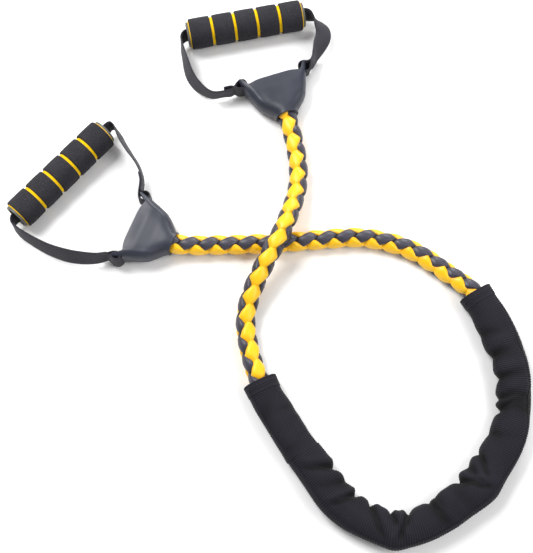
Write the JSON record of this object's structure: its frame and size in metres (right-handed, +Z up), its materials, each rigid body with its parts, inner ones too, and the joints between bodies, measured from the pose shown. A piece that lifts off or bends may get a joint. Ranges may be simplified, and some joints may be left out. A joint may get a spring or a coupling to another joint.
{
  "type": "resistance band",
  "caption": "Braided elastic exercise band with a fabric sleeve over its middle and a foam grip on a webbing strap at each end.",
  "frame": {"origin": "middle of the object's box, on the surface that it lies on", "axes": "+Z up from the surface that it lies on; +Y from the loop's sleeve towards the right handle; +X to the right"},
  "size_m": [0.558, 0.6186, 0.0386],
  "materials": {
    "yellow_elastic": "smooth, slightly tacky, satin",
    "dark_elastic": "smooth, satin",
    "sleeve_fabric": "ribbed nylon weave, matt with a faint sheen",
    "thread": "twisted sewing thread",
    "moulded_rubber": "moulded, satin",
    "ferrule_steel": "pressed",
    "plug_plastic": "moulded",
    "webbing": "flat woven webbing",
    "core_plastic": "extruded",
    "yellow_foam": "closed-cell foam, matt",
    "cap_plastic": "moulded",
    "black_foam": "closed-cell foam, matt, fine pores"
  },
  "bodies": {
    "band": {"yellow_strand_1": "yellow_elastic", "yellow_strand_2": "yellow_elastic", "black_strand_1": "dark_elastic", "black_strand_2": "dark_elastic", "sleeve": "sleeve_fabric", "sleeve_stitching": "thread"},
    "left_end": {"left_hood": "moulded_rubber", "left_ferrule": "ferrule_steel", "left_strand_plugs": "plug_plastic"},
    "left_handle": {"left_strap": "webbing", "left_strap_stitching": "thread"},
    "left_grip": {"left_core_tube": "core_plastic", "left_foam_liner": "yellow_foam", "left_inner_end_cap": "cap_plastic", "left_outer_end_cap": "cap_plastic", "left_foam_band_1": "black_foam", "left_foam_band_2": "black_foam", "left_foam_band_3": "black_foam", "left_foam_band_4": "black_foam", "left_foam_band_5": "black_foam"},
    "right_end": {"right_hood": "moulded_rubber", "right_ferrule": "ferrule_steel", "right_strand_plugs": "plug_plastic"},
    "right_handle": {"right_strap": "webbing", "right_strap_stitching": "thread"},
    "right_grip": {"right_core_tube": "core_plastic", "right_foam_liner": "yellow_foam", "right_inner_end_cap": "cap_plastic", "right_outer_end_cap": "cap_plastic", "right_foam_band_1": "black_foam", "right_foam_band_2": "black_foam", "right_foam_band_3": "black_foam", "right_foam_band_4": "black_foam", "right_foam_band_5": "black_foam"}
  },
  "joints": [
    {"name": "left_stretch", "type": "slide", "parent": "band", "child": "left_end", "axis": [-1, 0, 0], "range_m": [0, 0.15], "stiffness_N_per_m": 400, "deforming": ["yellow_strand_1", "yellow_strand_2", "black_strand_1", "black_strand_2"]},
    {"name": "left_swing", "type": "hinge", "parent": "left_end", "child": "left_handle", "pos_m": [-0.14653, 0.0292, 0.014], "axis": [0.3746, 0.9272, 0], "range_deg": [-120, 120], "deforming": ["left_strap", "left_strap_stitching"]},
    {"name": "left_spin", "type": "hinge", "parent": "left_handle", "child": "left_grip", "pos_m": [-0.2225, 0.0904, 0.0175], "axis": [0.6626, 0.749, 0], "continuous": true},
    {"name": "right_stretch", "type": "slide", "parent": "band", "child": "right_end", "axis": [-0.156, 0.9878, 0], "range_m": [0, 0.15], "stiffness_N_per_m": 400, "deforming": ["yellow_strand_1", "yellow_strand_2", "black_strand_1", "black_strand_2"]},
    {"name": "right_swing", "type": "hinge", "parent": "right_end", "child": "right_handle", "pos_m": [0.01074, 0.21478, 0.014], "axis": [0.9494, 0.314, 0], "range_deg": [-120, 120], "deforming": ["right_strap", "right_strap_stitching"]},
    {"name": "right_spin", "type": "hinge", "parent": "right_handle", "child": "right_grip", "pos_m": [-0.02, 0.2794, 0.0175], "axis": [0.9803, 0.1977, 0], "continuous": true}
  ]
}
